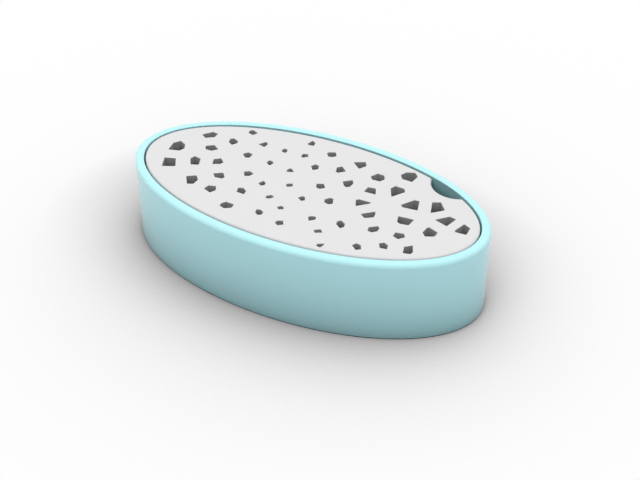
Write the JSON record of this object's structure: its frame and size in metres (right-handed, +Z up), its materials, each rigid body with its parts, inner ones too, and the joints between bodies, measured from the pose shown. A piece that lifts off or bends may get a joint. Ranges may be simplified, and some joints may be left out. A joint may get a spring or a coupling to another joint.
{
  "type": "soap holder",
  "caption": "Oval countertop soap holder: a deep water-catching bowl with a perforated drain plate, set in its mouth, that lifts out by a finger notch.",
  "frame": {"origin": "middle of the oval footprint, on the surface that the bowl stands on", "axes": "+Z up, X along the oval's long axis, Y across it, with the plate's finger notch towards +X and +Y"},
  "size_m": [0.1294, 0.0674, 0.0302],
  "materials": {
    "bowl": "moulded aqua plastic with a soft gloss",
    "drain_plate": "moulded light grey plastic, matt"
  },
  "bodies": {
    "bowl_body": {"bowl": "bowl"},
    "plate_body": {"drain_plate": "drain_plate"}
  },
  "joints": [
    {"name": "plate_lift", "type": "slide", "parent": "bowl_body", "child": "plate_body", "axis": [0, 0, 1], "range_m": [0, 0.04]}
  ]
}
